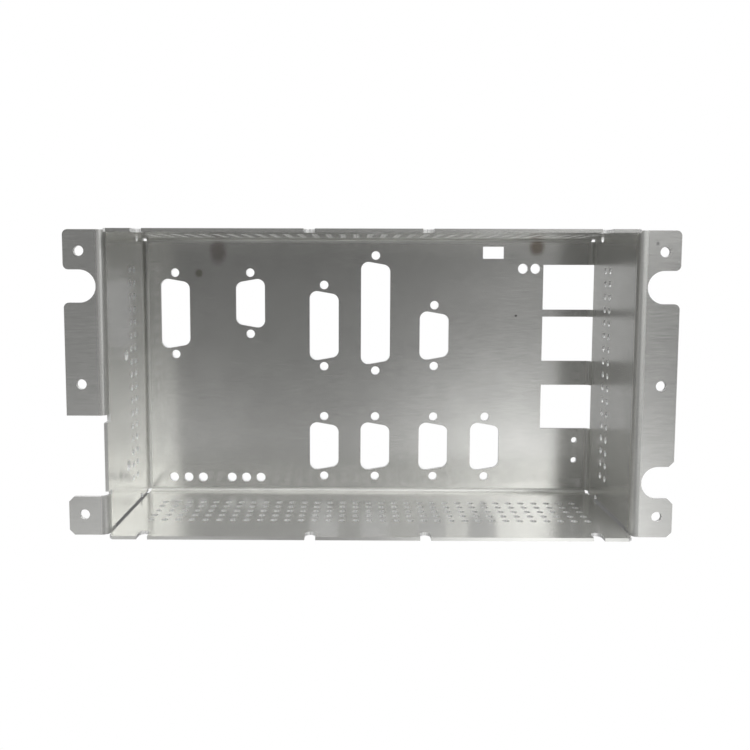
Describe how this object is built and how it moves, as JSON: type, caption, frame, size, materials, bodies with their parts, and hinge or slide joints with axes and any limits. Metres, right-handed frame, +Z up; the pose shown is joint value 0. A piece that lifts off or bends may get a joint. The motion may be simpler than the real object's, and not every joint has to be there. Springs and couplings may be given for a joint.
{
  "type": "sheet metal chassis",
  "caption": "Shallow open-fronted box folded from one sheet, with perforated walls, connector cut-outs in its back panel and a slotted mounting flange along each side.",
  "frame": {"origin": "underside of the bottom wall, at the middle of the box's width and depth", "axes": "+Z up, +X to the right along the width seen from the open front, -Y out of the open front; the back panel faces +Y"},
  "size_m": [0.2096, 0.053, 0.1064],
  "materials": {
    "sheet": "bright rolled sheet with fine grain along the width, slightly stained"
  },
  "bodies": {
    "root": {"chassis": "sheet"}
  },
  "joints": []
}
